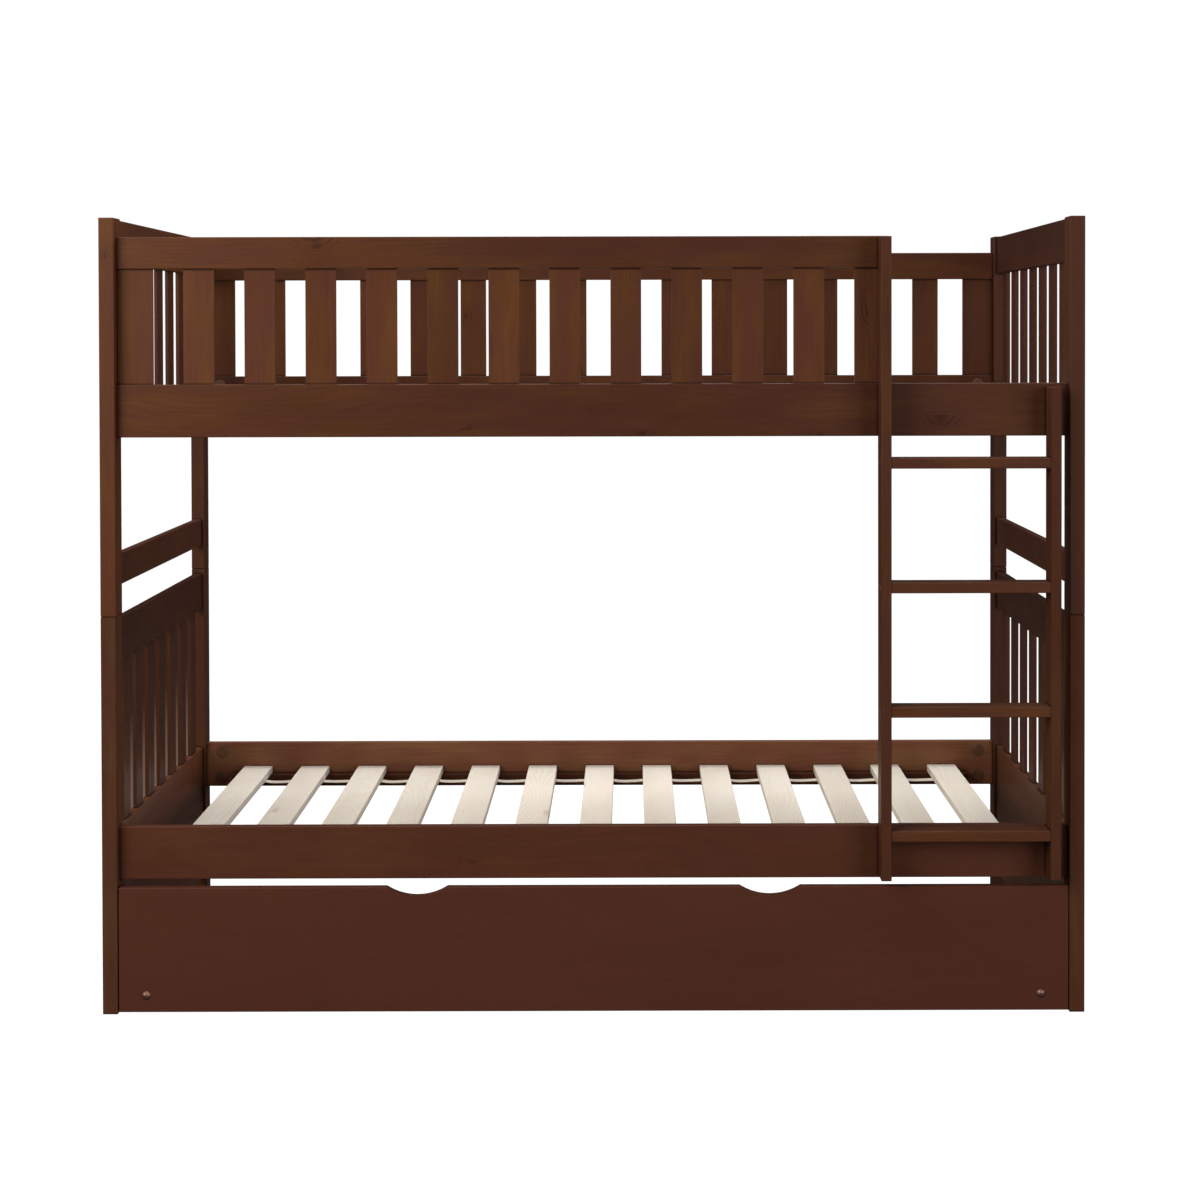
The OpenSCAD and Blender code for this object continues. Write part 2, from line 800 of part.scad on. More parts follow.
module trundle_front() {
    color(cherry) difference() {
        translate([-trundle_l / 2, y_trundle, trundle_floor_gap])
            along_x(trundle_l) round_rect(trundle_t, trundle_h, board_edge);
        both_ends() translate([-notch_x, y_trundle - 1, trundle_floor_gap + trundle_h - notch_h + notch_r])
            rotate([-90, 0, 0]) cylinder(r = notch_r, h = trundle_t + 2, $fn = 96);
        trundle_bolt_holes();
    }
}

module trundle_back() {
    back_l = 2 * trundle_end_x + trundle_end_t;
    color(cherry) difference() {
        translate([-back_l / 2, y_trundle_back, trundle_end_z])
            along_x(back_l) round_rect(trundle_t, trundle_back_h, board_edge);
        trundle_bolt_holes();
    }
}

// Places of the axles: the inner face of each trundle end, at wheel height
module axle_places() {
    both_ends() for (y = [y_trundle_in + axle_y, y_trundle_back - axle_y])
        translate([-trundle_end_in, y, wheel_r]) children();
}

module trundle_end(right) {
    color(cherry) mirror_end(right) difference() {
        translate([-trundle_end_x - trundle_end_t / 2, y_trundle_in, trundle_end_z])
            along_y(trundle_end_l) round_rect(trundle_end_t, trundle_end_h, board_edge);
        trundle_bolt_holes();
        barrel_places() translate([0, 0, -1]) cylinder(d = barrel_dia + 2 * fit_gap, h = barrel_l + 1 + fit_gap);
        axle_places() translate([-trundle_end_t - 1, 0, 0]) hole_x(axle_dia + 2 * fit_gap, trundle_end_t + 2);
    }
}

// Places of the barrel nuts, on the undersides of the trundle ends
module barrel_places() {
    trundle_both_boards() both_ends()
        translate([-trundle_end_x, y_trundle_in + barrel_y, trundle_bolt_z - barrel_l / 2]) children();
}

module trundle_barrel_nuts() {
    color(zinc) difference() {
        barrel_places() cylinder(d = barrel_dia, h = barrel_l);
        trundle_bolt_places() hole_y(bolt_dia + 2 * thread_gap, trundle_bolt_l + 1);
    }
}

module trundle_bolts() {
    color(bronze) trundle_bolt_places() {
        hole_y(bolt_dia, trundle_bolt_l);
        dome_head(bolt_head_dia, bolt_head_h);
    }
}

module trundle_cleats() {
    color(pine) trundle_both_boards()
        translate([-trundle_cleat_l / 2, y_trundle_in, z_trundle_slat - trundle_cleat_h])
            along_x(trundle_cleat_l) round_rect(cleat_t, trundle_cleat_h, board_edge);
}

module trundle_slats() {
    color(pine) slat_row(trundle_slat_l, y_trundle + trundle_d / 2, z_trundle_slat);
}

// A headed pin through the trundle end and the wheel's hub
module trundle_axles() {
    reach = 2 * hub_proud + wheel_w;
    color(zinc) axle_places() {
        translate([-trundle_end_t, 0, 0]) hole_x(axle_dia, trundle_end_t + reach);
        translate([-trundle_end_t - axle_head_h, 0, 0]) hole_x(axle_head_dia, axle_head_h);
        translate([reach, 0, 0]) hole_x(axle_head_dia, axle_head_h);
    }
}

// ---------- Wheels ----------

// Half of a wheel's section, radius against width
module wheel_section() {
    tread = 3;
    rim_in = wheel_r - 5;
    web = wheel_w / 4;
    difference() {
        union() {
            translate([0, -wheel_w / 2 - hub_proud]) square([hub_dia / 2, wheel_w + 2 * hub_proud]);
            translate([0, -web / 2]) square([rim_in + 1, web]);
            translate([rim_in, -wheel_w / 2]) square([wheel_r - rim_in - tread, wheel_w]);
            translate([rim_in, -wheel_w / 2 + tread]) square([wheel_r - rim_in, wheel_w - 2 * tread]);
            for (s = [-1, 1]) translate([wheel_r - tread, s * (wheel_w / 2 - tread)]) circle(tread);
        }
        translate([-1, -wheel_w]) square([1 + axle_dia / 2 + axle_gap, 2 * wheel_w]);
    }
}

module wheel(right, back) {
    y = back ? y_trundle_back - axle_y : y_trundle_in + axle_y;
    color(nylon) mirror_end(right) translate([-wheel_x, y, wheel_r])
        rotate([0, 90, 0]) rotate_extrude($fn = 72) wheel_section();
}

// ---------- Nodes ----------

lower_post(false, false);  // lower_post_front_left
lower_post(true, false);  // lower_post_front_right
lower_post(false, true);  // lower_post_back_left
lower_post(true, true);  // lower_post_back_right
upper_post(false, false, true);  // upper_post_front_left
upper_post(true, false, false);  // upper_post_front_right
upper_post(false, true, true);  // upper_post_back_left
upper_post(true, true, true);  // upper_post_back_right
end_top(false, z_lower_end_top);  // lower_end_top_left
end_top(true, z_lower_end_top);  // lower_end_top_right
end_top(false, z_upper_end_top);  // upper_end_top_left
end_top(true, z_upper_end_top);  // upper_end_top_right
end_low(false, end_board_z, end_board_h);  // lower_end_board_left
end_low(true, end_board_z, end_board_h);  // lower_end_board_right
end_low(false, z_upper_rail, end_rail_h);  // upper_end_rail_left
end_low(true, z_upper_rail, end_rail_h);  // upper_end_rail_right
end_bar(false);  // end_bar_left
end_bar(true);  // end_bar_right
end_slats(false, end_board_z + end_board_h, z_lower_end_top);  // lower_end_slats_left
end_slats(true, end_board_z + end_board_h, z_lower_end_top);  // lower_end_slats_right
end_slats(false, z_upper_rail + end_rail_h, z_upper_end_top);  // upper_end_slats_left
end_slats(true, z_upper_rail + end_rail_h, z_upper_end_top);  // upper_end_slats_right
lower_rail(false);  // lower_rail_front
lower_rail(true);  // lower_rail_back
upper_rail(false);  // upper_rail_front
upper_rail(true);  // upper_rail_back
cleats(z_lower_rail);  // lower_cleats
cleats(z_upper_rail);  // upper_cleats
deck_slats(z_lower_rail);  // lower_slats
deck_slats(z_upper_rail);  // upper_slats
slat_tapes();
guard_board(false);  // guard_board_front
guard_board(true);  // guard_board_back
guard_pickets(false);  // guard_pickets_front
guard_pickets(true);  // guard_pickets_back
ladder_upright(ladder_left, z_guard_top - tall_drop);  // ladder_upright_tall
ladder_upright(ladder_right, z_upper_rail + rail_h - short_drop);  // ladder_upright_short
ladder_rungs();
ladder_bolts();
rung_screws();
rail_bolts();
rail_washers();
rail_nuts();
pocket_caps();
stacking_pins();
guard_dowels();
cleat_screws();
trundle_front();
trundle_back();
trundle_end(false);  // trundle_end_left
trundle_end(true);  // trundle_end_right
trundle_cleats();
trundle_slats();
trundle_bolts();
trundle_barrel_nuts();
trundle_axles();
wheel(false, false);  // wheel_front_left
wheel(true, false);  // wheel_front_right
wheel(false, true);  // wheel_back_left
wheel(true, true);  // wheel_back_right
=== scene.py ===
# %% [markdown]
# # A bunk bed in dark cherry stain
#
# A bunk bed is plain joinery: long flat boards, slim posts and thin slats. With shapes this simple,
# the finish does the work: stained wood that shows its grain, pale bare slats, woven tape and a few
# bronzed bolt heads. The joinery itself comes in ready-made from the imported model, at its real
# size. This script dresses it, adds the soft pieces and one board, and lights it.

# %% Tools and the frame
import math

import bpy
from mathutils import Matrix, Vector


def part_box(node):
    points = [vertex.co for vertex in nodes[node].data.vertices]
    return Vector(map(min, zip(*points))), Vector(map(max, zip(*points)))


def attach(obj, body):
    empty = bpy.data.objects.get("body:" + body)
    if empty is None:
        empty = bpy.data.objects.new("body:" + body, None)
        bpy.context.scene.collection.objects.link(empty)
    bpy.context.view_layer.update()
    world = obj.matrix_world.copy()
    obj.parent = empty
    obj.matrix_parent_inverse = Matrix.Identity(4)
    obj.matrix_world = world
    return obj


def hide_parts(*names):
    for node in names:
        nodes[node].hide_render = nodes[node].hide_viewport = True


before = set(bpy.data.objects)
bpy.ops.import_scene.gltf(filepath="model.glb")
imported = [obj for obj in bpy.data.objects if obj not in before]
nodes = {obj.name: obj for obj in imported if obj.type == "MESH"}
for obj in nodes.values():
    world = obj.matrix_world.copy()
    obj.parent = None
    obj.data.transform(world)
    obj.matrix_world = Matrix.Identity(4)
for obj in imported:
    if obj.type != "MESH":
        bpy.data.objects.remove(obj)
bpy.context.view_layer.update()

# %% [markdown]
# ## The camera
#
# The bed is seen from the front, from nearly five metres away and a little above the upper deck.
# The camera looks almost level, so the posts stay upright in the picture. To bring the bed into the
# middle, the camera could be tilted, but then the posts would lean together. So the lens is shifted
# down instead, and a little to the side, as is done for buildings.

# %% Camera
# Place in metres, turns in radians, sensor and lens in millimetres, shifts as shares of the frame
CAMERA_PLACE = Vector((0.0783, -5.3852, 1.4098))
CAMERA_DOWN = 0.0175
CAMERA_TURN = -0.0019
CAMERA_ROLL = -0.0021
SENSOR_WIDTH = 36.0
LENS = 70.44
SHIFT_ACROSS = -0.0288
SHIFT_DOWN = -0.1855

camera_data = bpy.data.cameras.new("camera")
camera_data.sensor_width = SENSOR_WIDTH
camera_data.lens = LENS
camera_data.shift_x = SHIFT_ACROSS
camera_data.shift_y = SHIFT_DOWN
camera = bpy.data.objects.new("camera", camera_data)
bpy.context.scene.collection.objects.link(camera)
camera.location = CAMERA_PLACE
turn = Matrix.Rotation(CAMERA_TURN, 3, "Z")
tilt = Matrix.Rotation(math.pi / 2 - CAMERA_DOWN, 3, "X")
roll = Matrix.Rotation(CAMERA_ROLL, 3, "Z")
camera.rotation_euler = (turn @ tilt @ roll).to_euler()
bpy.context.scene.camera = camera

# %% [markdown]
# ## Helpers for shader nodes
#
# Every finish here is a small network of shader nodes. It could be wired by hand in the shader
# editor, but in code each link would take a line and hide the idea. So a few short helpers make a
# node, wire its inputs and give back its output.

# %% Nodes and numbers
def wire(tree, socket, value):
    """Links a socket to an output, or gives it a plain value."""
    if isinstance(value, bpy.types.NodeSocket):
        tree.links.new(value, socket)
    else:
        socket.default_value = value


def add_node(tree, kind, inputs=(), **settings):
    """Adds a node, sets its settings, and links or sets each (input, value) pair."""
    node = tree.nodes.new(kind)
    for name, value in settings.items():
        setattr(node, name, value)
    for key, value in dict(inputs).items():
        wire(tree, node.inputs[key], value)
    return node


def math_of(tree, operation, a, b=0.0, c=0.0, clamp=False):
    """One Math node; a, b and c are numbers or sockets."""
    inputs = {0: a, 1: b, 2: c}
    return add_node(tree, "ShaderNodeMath", inputs, operation=operation, use_clamp=clamp).outputs[0]


def vector_of(tree, operation, a, b=(0.0, 0.0, 0.0)):
    """One Vector Math node; a and b are three numbers or sockets."""
    node = add_node(tree, "ShaderNodeVectorMath", {0: a, 1: b}, operation=operation)
    return node.outputs["Value" if operation in ("LENGTH", "DISTANCE") else "Vector"]


def fade(tree, value, low, high, start=0.0, end=1.0):
    """Maps low..high smoothly to start..end."""
    inputs = {"Value": value, "From Min": low, "From Max": high, "To Min": start, "To Max": end}
    return add_node(tree, "ShaderNodeMapRange", inputs, interpolation_type="SMOOTHSTEP").outputs[0]


print("number helpers ready")

# %% Colours, noise and relief
def mix_colour(tree, factor, low, high, blend="MIX"):
    """Mixes two colours; each is a socket or three numbers."""
    node = add_node(tree, "ShaderNodeMix", {0: factor}, data_type="RGBA", blend_type=blend)
    for index, colour in ((6, low), (7, high)):
        linked = isinstance(colour, bpy.types.NodeSocket)
        wire(tree, node.inputs[index], colour if linked else (*colour, 1.0))
    return node.outputs[2]


def noise_at(tree, vector, scale, detail=2.0, roughness=0.5):
    """A noise value around 0.5 at a point."""
    inputs = {"Vector": vector, "Scale": scale, "Detail": detail, "Roughness": roughness}
    return add_node(tree, "ShaderNodeTexNoise", inputs).outputs["Fac"]


def object_point(tree):
    """The point's place in the object's own coordinates, in metres."""
    return add_node(tree, "ShaderNodeTexCoord").outputs["Object"]


def emboss(tree, shader, height, strength, depth):
    """Lets a pattern of heights tilt the surface, as fine relief does."""
    inputs = {"Strength": strength, "Distance": depth, "Height": height}
    bump = add_node(tree, "ShaderNodeBump", inputs)
    tree.links.new(bump.outputs[0], shader.inputs["Normal"])


def new_material(name):
    """A material with only a Principled shader, ready to be wired."""
    material = bpy.data.materials.new(name)
    material.use_nodes = True
    tree = material.node_tree
    tree.nodes.clear()
    shader = add_node(tree, "ShaderNodeBsdfPrincipled")
    add_node(tree, "ShaderNodeOutputMaterial", {"Surface": shader.outputs[0]})
    return material, tree, shader


def set_all_over(shader, values):
    """Gives the shader the values that are the same all over the surface."""
    for name, value in values.items():
        shader.inputs[name].default_value = value


print("colour helpers ready")

# %% [markdown]
# ## Which way the grain runs
#
# A board's grain runs along its length. Rails and guards run along the bed (X), the rails of the
# head and foot panels and the mattress slats run across it (Y), and posts, pickets and panel slats
# stand up (Z). So the first thing that a wood finish needs is a point in the board's own terms: how
# far along the grain it is, and where it is in the cross-section.
#
# Boards that repeat in one node, such as pickets, must not look like one sheet that was cut up.
# They could be split into objects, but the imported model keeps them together. So each board gets a
# number from its pitch, and a random value from that number moves the pattern.

# %% Grain coordinates
BOARD_SHIFT = 7.0  # metres, the most by which two boards' patterns lie apart


def grain_point(tree, axis):
    """The object's coordinates split up, and joined as along the grain and the cross-section."""
    split = add_node(tree, "ShaderNodeSeparateXYZ", {0: object_point(tree)})
    order = {"X": (0, 1, 2), "Y": (1, 0, 2), "Z": (2, 0, 1)}[axis]
    ordered = {slot: split.outputs[source] for slot, source in enumerate(order)}
    return split, add_node(tree, "ShaderNodeCombineXYZ", ordered).outputs[0]


def board_chance(tree, split, row, seed):
    """Random values for each board. row is (axis, first edge, pitch), or None for one board."""
    number = 0.0
    if row:
        axis, first, pitch = row
        steps = math_of(tree, "SUBTRACT", split.outputs["XYZ".index(axis)], first)
        number = math_of(tree, "FLOOR", math_of(tree, "DIVIDE", steps, pitch))
    number = math_of(tree, "ADD", number, seed)
    return add_node(tree, "ShaderNodeTexWhiteNoise", {"W": number}, noise_dimensions="1D")


def moved_grain(tree, axis, row, seed):
    """The grain point moved by the board's random shift, and a random value for its tone."""
    split, point = grain_point(tree, axis)
    random = board_chance(tree, split, row, seed)
    shift = vector_of(tree, "MULTIPLY", random.outputs["Color"], (BOARD_SHIFT,) * 3)
    return vector_of(tree, "ADD", point, shift), random.outputs["Value"]


print("grain runs along X, Y or Z")

# %% [markdown]
# ## How wood is built up
#
# A picture of wood could be laid over each board, but its ends and edges would not belong to its
# faces. So the pattern is solid: it is worked out at each point in space, and a board's faces cut
# it, as a saw cuts a trunk. It has five layers. Cloudy patches show where stain took unevenly.
# Growth rings come from the distance to a bent line, the tree's heart: cut by the board's flat
# faces they give long arches. Fibres are noise pulled out along the grain, and pores are short
# dark dashes. Knots are rare round spots that push the rings aside.

# %% Layers of noise
# Features in each metre, along the grain and across it
PER_METRE = {
    "bend": (1.3, 4.0),
    "wobble": (9.0, 30.0),
    "ring strength": (2.0, 25.0),
    "cloud": (3.4, 11.0),
    "redness": (4.0, 20.0),
    "fibres": (9.0, 520.0),
    "pores": (60.0, 1500.0),
}


def stretched(tree, vector, along, across):
    """The grain vector with its first axis scaled by along and the other two by across."""
    return vector_of(tree, "MULTIPLY", vector, (along, across, across))


def grain_noise(tree, point, layer, detail=2.0, roughness=0.5):
    """Noise pulled out along the grain, as fine as the layer needs."""
    return noise_at(tree, stretched(tree, point, *PER_METRE[layer]), 1.0, detail, roughness)


print("noise layers:", ", ".join(PER_METRE))

# %% Knots
KNOT_CELL = (0.62, 0.085)  # metres along and across the grain, with room for one knot
CELL_RANDOMNESS = 0.8
CLEAR_SHARE = 0.992  # of the cells have no knot
KNOT_SQUEEZE = 0.7  # a knot is longer along the grain, so distances that way count less
KNOT_HALO = (0.045, 0.004)  # metres from the middle, where the bent grain starts and is full
KNOT_CORE = (0.0090, 0.0040)


def knot_spots(group, point, placed):
    """Bent grain and core of the rare knots, and of the one that a board places itself."""
    cells = stretched(group, point, 1 / KNOT_CELL[0], 1 / KNOT_CELL[1])
    inputs = {"Vector": cells, "Randomness": CELL_RANDOMNESS}
    spots = add_node(group, "ShaderNodeTexVoronoi", inputs)
    chance = add_node(group, "ShaderNodeSeparateColor", {0: spots.outputs["Color"]})
    clear = math_of(group, "LESS_THAN", chance.outputs[0], CLEAR_SHARE)
    away = vector_of(group, "SUBTRACT", cells, spots.outputs["Position"])
    to_metres = (KNOT_CELL[0] * KNOT_SQUEEZE, KNOT_CELL[1], KNOT_CELL[1])
    reach = vector_of(group, "LENGTH", vector_of(group, "MULTIPLY", away, to_metres))
    reach = math_of(group, "MINIMUM", math_of(group, "ADD", reach, clear), placed)
    return fade(group, reach, *KNOT_HALO), fade(group, reach, *KNOT_CORE)


def knot_distance(tree, axis, knot):
    """Metres to a board's own knot, (x, z, size), which goes straight through the board."""
    x, z, size = knot
    scale = (KNOT_SQUEEZE, 0.0, 1.0) if axis == "X" else (1.0, 0.0, KNOT_SQUEEZE)
    flat = vector_of(tree, "MULTIPLY", object_point(tree), scale)
    away = vector_of(tree, "DISTANCE", flat, (x * scale[0], 0.0, z * scale[2]))
    return math_of(tree, "DIVIDE", away, size)


print("one cell in", round(1 / (1 - CLEAR_SHARE)), "has a knot")

# %% Growth rings
# All in metres
RING_SPACING = 0.0052
HEART_OFFSET = (0.031, 0.055)
RING_BEND = 0.085
RING_WOBBLE = 0.004
KNOT_PUSH = 0.016


def growth_rings(group, point, halo):
    """Rings round the heart: each darkens slowly and ends sharply, and some are faint."""
    bend = grain_noise(group, point, "bend", detail=3.0)
    wobble = grain_noise(group, point, "wobble")
    parts = add_node(group, "ShaderNodeSeparateXYZ", {0: point})
    squares = []
    for side, offset in zip((parts.outputs[1], parts.outputs[2]), HEART_OFFSET):
        reach = math_of(group, "SUBTRACT", math_of(group, "FRACT", side), offset)
        squares.append(math_of(group, "MULTIPLY", reach, reach))
    radius = math_of(group, "SQRT", math_of(group, "ADD", *squares))
    for push, most in ((bend, RING_BEND), (wobble, RING_WOBBLE), (halo, KNOT_PUSH)):
        radius = math_of(group, "MULTIPLY_ADD", push, most, radius)
    turns = math_of(group, "FRACT", math_of(group, "DIVIDE", radius, RING_SPACING))
    slow = fade(group, turns, 0.25, 0.9)
    sharp = fade(group, turns, 0.93, 1.0, 1.0, 0.0)
    strength = fade(group, grain_noise(group, point, "ring strength"), 0.3, 0.7, 0.25, 1.0)
    return math_of(group, "MULTIPLY", math_of(group, "MULTIPLY", slow, sharp), strength)


print("rings are", RING_SPACING * 1000, "mm apart")

# %% [markdown]
# ## One pattern for all boards
#
# Every board needs the same network with another point in it. It could be built anew in each
# material, but a node group is built once, shared, and changed in one place.

# %% The wood group
LAYERS = ("Cloud", "Rings", "Fibres", "Pores", "Knots")
NO_KNOT = 1.0  # metres, further than a knot reaches
HALO_DEPTH = 0.35  # of the core's darkness


def wood_pattern_group():
    """A node group: a moved grain point in, the pattern's layers out, each from 0 to 1."""
    group = bpy.data.node_groups.new("wood_pattern", "ShaderNodeTree")
    new_socket = group.interface.new_socket
    new_socket("Point", in_out="INPUT", socket_type="NodeSocketVector")
    near = new_socket("Knot distance", in_out="INPUT", socket_type="NodeSocketFloat")
    near.default_value = NO_KNOT
    for name in LAYERS:
        new_socket(name, in_out="OUTPUT", socket_type="NodeSocketFloat")
    start = group.nodes.new("NodeGroupInput")
    point = start.outputs["Point"]
    halo, core = knot_spots(group, point, start.outputs["Knot distance"])
    rings = growth_rings(group, point, halo)
    cloud = grain_noise(group, point, "cloud", detail=3.0, roughness=0.55)
    fibres = grain_noise(group, point, "fibres", detail=3.0, roughness=0.6)
    pores = grain_noise(group, point, "pores", detail=1.0)
    outputs = {
        "Cloud": fade(group, cloud, 0.28, 0.72),
        "Rings": rings,
        "Fibres": fade(group, fibres, 0.25, 0.75),
        "Pores": fade(group, pores, 0.62, 0.74),
        "Knots": math_of(group, "MAXIMUM", core, math_of(group, "MULTIPLY", halo, HALO_DEPTH)),
    }
    add_node(group, "NodeGroupOutput", outputs)
    return group


wood_pattern = wood_pattern_group()
print("wood pattern:", len(wood_pattern.nodes), "nodes")

# %% A board's layers
def wood_layers(tree, axis, row, seed, knot=None):
    """A node's grain point, a random value for each of its boards, and the pattern's layers."""
    point, chance = moved_grain(tree, axis, row, seed)
    inputs = {"Point": point}
    if knot:
        inputs["Knot distance"] = knot_distance(tree, axis, knot)
    pattern = add_node(tree, "ShaderNodeGroup", inputs, node_tree=wood_pattern)
    return point, chance, [pattern.outputs[name] for name in LAYERS]


def pulled(tree, colour, pulls):
    """Pulls a colour towards others in turn; each pull is a layer, its share and a colour."""
    for layer, share, other in pulls:
        colour = mix_colour(tree, math_of(tree, "MULTIPLY", layer, share), colour, other)
    return colour


def varied(tree, colour, chance, spread):
    """Makes each board a little lighter or darker than its neighbours."""
    bright = math_of(tree, "MULTIPLY_ADD", chance, spread, 1 - spread / 2)
    return add_node(tree, "ShaderNodeHueSaturation", {"Value": bright, "Color": colour}).outputs[0]


print("layers:", ", ".join(LAYERS))

# %% [markdown]
# ## Cherry stain under satin lacquer
#
# The bed's wood is stained dark. Stain gathers in the soft side of each ring and in the pores, and
# leaves dense places lighter, so the layers pull the colour both ways between a near-black brown
# and an amber. Where two pieces meet, painted shade darkens the colour. Towards the left end,
# painted light makes it paler, where the key light falls stronger. A satin lacquer lies over it
# all. It could be a second surface, but the shader has a coat for that.

# %% Cherry colours
BROWN = Vector((0.083, 0.0290, 0.0106))
RED_BROWN = Vector((0.082, 0.0258, 0.0178))
OLIVE_BROWN = Vector((0.083, 0.0380, 0.0170))
AMBER = Vector((0.118, 0.0455, 0.0128))
NEAR_BLACK = Vector((0.036, 0.0120, 0.0066))
WARM_LIFT = 1.35  # how much lighter the warm side of a red or olive board is
PAINTED_SHEEN_GREY = Vector((0.001, 0.0045, 0.0085))  # painted sheen: the grey that the lacquer's reflection would add, put into the colour of a board whose gloss is off
# painted shade: corners where two pieces meet are darkened towards this colour, within CORNER_REACH
CORNER_SHADE_COLOUR = (0.010, 0.0036, 0.0022)
CORNER_REACH = 0.006
CORNER_SAMPLES = 6
LEFT_LIGHT_LIFT = (1.65, 1.55, 1.20)  # painted light: multiplies the colour at the left end, where the key light falls stronger
LEFT_LIGHT_SPAN = (0.0, -0.95)  # metres along the bed, from where to where the painted light grows from none to full


def cherry_colour(tree, point, layers, tone, red, figure, gloss_off):
    """The stain's colour. tone is its lightness, partly the stain's and partly painted light, and
    red goes from olive (-1) to red (1).
    """
    cloud, rings, fibres, pores, knots = layers
    other = RED_BROWN if red > 0 else OLIVE_BROWN
    body = BROWN.lerp(other, abs(red)) * tone
    # painted sheen: a board without gloss gets a grey lift in its colour in place of the lacquer's
    # reflection
    if gloss_off:
        body += PAINTED_SHEEN_GREY
    warm = AMBER.lerp(other * WARM_LIFT, abs(red)) * tone
    deep = NEAR_BLACK * tone
    redness = fade(tree, grain_noise(tree, point, "redness"), 0.36, 0.62, 0.0, 0.8)
    swirl = math_of(tree, "MULTIPLY_ADD", knots, 1.6 * figure, 0.20 * figure)
    pulls = (
        (cloud, 0.65 * figure, warm),
        (redness, figure, body.lerp(RED_BROWN * tone, 0.8)),
        (rings, swirl, deep),
        (fibres, 0.12 + 0.18 * figure, deep),
        (pores, 0.38, deep * 0.8),
        (knots, 0.42 * figure**3, deep * 0.7),
    )
    return pulled(tree, body, pulls)


def painted_left_light(tree, colour, amount):
    """The colour made paler towards the bed's left end: painted light, where the key light falls
    stronger.
    """
    along_bed = add_node(tree, "ShaderNodeSeparateXYZ", {0: object_point(tree)}).outputs[0]
    pale = fade(tree, along_bed, *LEFT_LIGHT_SPAN, 0.0, amount)
    return mix_colour(tree, pale, colour, LEFT_LIGHT_LIFT, "MULTIPLY")


def painted_corner_shade(tree, colour):
    """The colour darkened with painted shade where two pieces meet."""
    inputs = {"Distance": CORNER_REACH}
    corner = add_node(tree, "ShaderNodeAmbientOcclusion", inputs, samples=CORNER_SAMPLES)
    clear = fade(tree, corner.outputs["AO"], 0.45, 0.95)
    return mix_colour(tree, clear, CORNER_SHADE_COLOUR, colour)


# painted shade darkens the colour within this reach of a corner
print("stain gathers within", CORNER_REACH * 1000, "mm of a corner")

# %% Cherry finish
LACQUER_GLOSS = 0.11
COAT_SHARE = 0.36  # of the gloss lies in the coat
CHERRY_SPREAD = 0.22  # between the lightest and the darkest board of a row


def cherry(name, axis, row, seed, board, knot, gloss_off, left_light):
    """Dark cherry stain. board is (tone, red, figure), and left_light is how much painted light
    makes the left end paler.
    """
    material, tree, shader = new_material(name)
    point, chance, layers = wood_layers(tree, axis, row, seed, knot)
    colour = cherry_colour(tree, point, layers, *board, gloss_off)
    if left_light:
        colour = painted_left_light(tree, colour, left_light)
    colour = painted_corner_shade(tree, varied(tree, colour, chance, CHERRY_SPREAD))
    tree.links.new(colour, shader.inputs["Base Color"])

    cloud, _, fibres, pores, _ = layers
    height = math_of(tree, "MULTIPLY_ADD", pores, -0.6, math_of(tree, "MULTIPLY", fibres, -0.4))
    emboss(tree, shader, height, 0.10, 0.0004)
    rough = math_of(tree, "MULTIPLY_ADD", cloud, 0.06, 0.30)
    rough = math_of(tree, "MULTIPLY_ADD", fibres, 0.10, rough)
    tree.links.new(rough, shader.inputs["Roughness"])
    gloss = 0.0 if gloss_off else LACQUER_GLOSS
    values = {
        "Specular IOR Level": gloss,
        "Coat Weight": gloss * COAT_SHARE,
        "Coat Roughness": 0.18,
        "Coat IOR": 1.45,
    }
    set_all_over(shader, values)
    return material


print("cherry finish ready")

# %% [markdown]
# ## Bare slat wood
#
# The slats are planed and left bare. They are almost white, with faint pink and yellow grain, a
# dull surface and no coat. One flat cream would do from far away, but their broad faces show the
# grain, so the same pattern serves here, in pale colours.

# %% Bare finish
BARE_DARK = (0.79, 0.72, 0.625)
BARE_LIGHT = (0.84, 0.785, 0.705)
BARE_SPREAD = 0.08


def bare(name, axis, row, seed):
    """Planed, unfinished pale wood."""
    material, tree, shader = new_material(name)
    _, chance, layers = wood_layers(tree, axis, row, seed)
    cloud, rings, fibres, pores, knots = layers
    pulls = (
        (rings, 0.42, (0.68, 0.56, 0.43)),
        (fibres, 0.22, (0.63, 0.53, 0.42)),
        (pores, 0.25, (0.50, 0.39, 0.28)),
        (knots, 0.7, (0.27, 0.15, 0.08)),
    )
    colour = pulled(tree, mix_colour(tree, cloud, BARE_DARK, BARE_LIGHT), pulls)
    tree.links.new(varied(tree, colour, chance, BARE_SPREAD), shader.inputs["Base Color"])
    height = math_of(tree, "MULTIPLY_ADD", pores, -0.5, math_of(tree, "MULTIPLY", fibres, -0.5))
    emboss(tree, shader, height, 0.25, 0.0005)
    set_all_over(shader, {"Roughness": 0.62, "Specular IOR Level": 0.35})
    return material


print("bare finish ready")

# %% [markdown]
# ## Metal and plastic
#
# The hidden fasteners are zinc plated, with a slightly cloudy, bluish grey. The heads that show are
# antique bronze, a dull red-brown that is worn lighter in places. One even colour would look like
# paint, so both mix two tones by a soft noise. The wheels are black nylon, and the caps over the
# nuts brown plastic: both are dull and have the fine skin of a mould.

